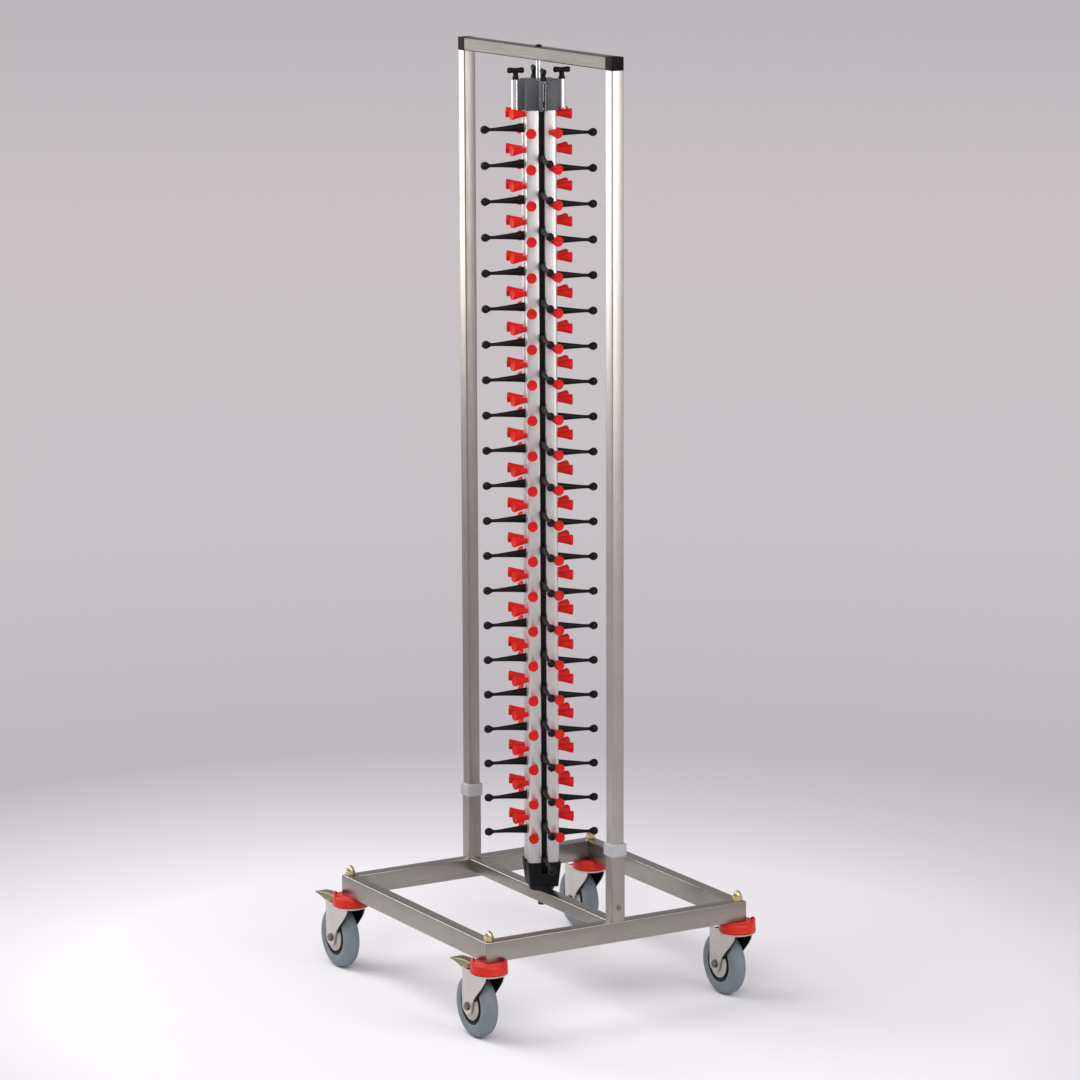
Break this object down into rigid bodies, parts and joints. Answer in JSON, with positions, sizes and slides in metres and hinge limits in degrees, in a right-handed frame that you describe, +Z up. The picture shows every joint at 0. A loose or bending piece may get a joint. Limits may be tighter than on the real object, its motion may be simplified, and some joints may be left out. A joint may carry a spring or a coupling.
{
  "type": "plate dispenser cart",
  "caption": "Wheeled rack for plated meals: a square base on casters, an upright frame and a turning column of black arms and red rubber cones.",
  "frame": {"origin": "on the floor under the column's turning axis", "axes": "+X along the crossbar towards the upright nearest the viewer, +Y across it, +Z up"},
  "size_m": [0.718, 0.6278, 1.8483],
  "materials": {
    "steel": "satin",
    "bolt_steel": "polished",
    "column_steel": "satin",
    "sleeve_aluminium": "polished",
    "black_plastic": "satin",
    "grey_plastic": "satin",
    "smoke_plastic": "translucent",
    "red_rubber": "satin",
    "red_plastic": "gloss",
    "brass": "satin",
    "fork_paint": "satin",
    "tyre_grey": "matt"
  },
  "bodies": {
    "base": {"base_beam_front": "steel", "base_beam_right": "steel", "base_beam_rear": "steel", "base_beam_left": "steel", "cross_member": "steel", "socket_tubes": "steel", "upright_left": "steel", "upright_right": "steel", "crossbar": "steel", "clamp_collars": "smoke_plastic", "clamp_screws": "bolt_steel", "corner_connectors": "black_plastic", "pivot_bolt": "bolt_steel", "foot_pivot": "bolt_steel", "caster_rings": "red_plastic", "king_pins": "bolt_steel", "cap_nuts": "brass"},
    "column": {"head_block": "grey_plastic", "foot_block": "black_plastic", "column_profiles": "column_steel", "column_core": "black_plastic", "guide_sleeves": "sleeve_aluminium", "rubber_cones_front": "red_rubber", "rubber_cones_right": "red_rubber", "rubber_cones_back": "red_rubber", "rubber_cones_left": "red_rubber"},
    "arms_front": {"arm_rail_front": "black_plastic", "plate_arms_front": "black_plastic"},
    "wing_screw_front": {"wing_knob_front": "black_plastic", "spindle_front": "bolt_steel"},
    "arms_right": {"arm_rail_right": "black_plastic", "plate_arms_right": "black_plastic"},
    "wing_screw_right": {"wing_knob_right": "black_plastic", "spindle_right": "bolt_steel"},
    "arms_back": {"arm_rail_back": "black_plastic", "plate_arms_back": "black_plastic"},
    "wing_screw_back": {"wing_knob_back": "black_plastic", "spindle_back": "bolt_steel"},
    "arms_left": {"arm_rail_left": "black_plastic", "plate_arms_left": "black_plastic"},
    "wing_screw_left": {"wing_knob_left": "black_plastic", "spindle_left": "bolt_steel"},
    "caster_front_left": {"fork_front_left": "fork_paint", "axle_bolt_front_left": "bolt_steel"},
    "wheel_front_left": {"tyre_front_left": "tyre_grey", "wheel_centre_front_left": "black_plastic"},
    "brake_front_left": {"brake_pedal_front_left": "fork_paint"},
    "caster_front_right": {"fork_front_right": "fork_paint", "axle_bolt_front_right": "bolt_steel"},
    "wheel_front_right": {"tyre_front_right": "tyre_grey", "wheel_centre_front_right": "black_plastic"},
    "brake_front_right": {"brake_pedal_front_right": "fork_paint"},
    "caster_rear_right": {"fork_rear_right": "fork_paint", "axle_bolt_rear_right": "bolt_steel"},
    "wheel_rear_right": {"tyre_rear_right": "tyre_grey", "wheel_centre_rear_right": "black_plastic"},
    "caster_rear_left": {"fork_rear_left": "fork_paint", "axle_bolt_rear_left": "bolt_steel"},
    "wheel_rear_left": {"tyre_rear_left": "tyre_grey", "wheel_centre_rear_left": "black_plastic"}
  },
  "joints": [
    {"name": "column_turn", "type": "hinge", "parent": "base", "child": "column", "pos_m": [0, 0, 0.198], "axis": [0, 0, 1], "continuous": true},
    {"name": "arms_slide_front", "type": "slide", "parent": "column", "child": "arms_front", "axis": [0, 0, 1], "range_m": [-0.007, 0.028]},
    {"name": "wing_turn_front", "type": "hinge", "parent": "column", "child": "wing_screw_front", "pos_m": [0.042, -0.01471, 1.7825], "axis": [0, 0, 1], "range_deg": [-630, 2520]},
    {"name": "arms_slide_right", "type": "slide", "parent": "column", "child": "arms_right", "axis": [0, 0, 1], "range_m": [-0.021, 0.014]},
    {"name": "wing_turn_right", "type": "hinge", "parent": "column", "child": "wing_screw_right", "pos_m": [0.01471, 0.042, 1.7825], "axis": [0, 0, 1], "range_deg": [-1890, 1260]},
    {"name": "arms_slide_back", "type": "slide", "parent": "column", "child": "arms_back", "axis": [0, 0, 1], "range_m": [-0.019, 0.016]},
    {"name": "wing_turn_back", "type": "hinge", "parent": "column", "child": "wing_screw_back", "pos_m": [-0.042, 0.01471, 1.7825], "axis": [0, 0, 1], "range_deg": [-1710, 1440]},
    {"name": "arms_slide_left", "type": "slide", "parent": "column", "child": "arms_left", "axis": [0, 0, 1], "range_m": [-0.03, 0.005]},
    {"name": "wing_turn_left", "type": "hinge", "parent": "column", "child": "wing_screw_left", "pos_m": [-0.01471, -0.042, 1.7825], "axis": [0, 0, 1], "range_deg": [-2700, 450]},
    {"name": "swivel_front_left", "type": "hinge", "parent": "base", "child": "caster_front_left", "pos_m": [-0.2775, -0.2775, 0.1377], "axis": [0, 0, 1], "continuous": true},
    {"name": "roll_front_left", "type": "hinge", "parent": "caster_front_left", "child": "wheel_front_left", "pos_m": [-0.3235, -0.2775, 0.0625], "axis": [0, 1, 0], "continuous": true},
    {"name": "brake_front_left", "type": "hinge", "parent": "caster_front_left", "child": "brake_front_left", "pos_m": [-0.3335, -0.2775, 0.1394], "axis": [0, -1, 0], "range_deg": [0, 12]},
    {"name": "swivel_front_right", "type": "hinge", "parent": "base", "child": "caster_front_right", "pos_m": [0.2775, -0.2775, 0.1377], "axis": [0, 0, 1], "continuous": true},
    {"name": "roll_front_right", "type": "hinge", "parent": "caster_front_right", "child": "wheel_front_right", "pos_m": [0.2315, -0.2775, 0.0625], "axis": [0, 1, 0], "continuous": true},
    {"name": "brake_front_right", "type": "hinge", "parent": "caster_front_right", "child": "brake_front_right", "pos_m": [0.2215, -0.2775, 0.1394], "axis": [0, -1, 0], "range_deg": [0, 12]},
    {"name": "swivel_rear_right", "type": "hinge", "parent": "base", "child": "caster_rear_right", "pos_m": [0.2775, 0.2775, 0.1377], "axis": [0, 0, 1], "continuous": true},
    {"name": "roll_rear_right", "type": "hinge", "parent": "caster_rear_right", "child": "wheel_rear_right", "pos_m": [0.2315, 0.2775, 0.0625], "axis": [0, 1, 0], "continuous": true},
    {"name": "swivel_rear_left", "type": "hinge", "parent": "base", "child": "caster_rear_left", "pos_m": [-0.2775, 0.2775, 0.1377], "axis": [0, 0, 1], "continuous": true},
    {"name": "roll_rear_left", "type": "hinge", "parent": "caster_rear_left", "child": "wheel_rear_left", "pos_m": [-0.3235, 0.2775, 0.0625], "axis": [0, 1, 0], "continuous": true}
  ],
  "couplings": [
    {"joint": "wing_turn_front", "follows": "arms_slide_front", "rad_per_m": 1570.8},
    {"joint": "wing_turn_right", "follows": "arms_slide_right", "rad_per_m": 1570.8},
    {"joint": "wing_turn_back", "follows": "arms_slide_back", "rad_per_m": 1570.8},
    {"joint": "wing_turn_left", "follows": "arms_slide_left", "rad_per_m": 1570.8}
  ]
}
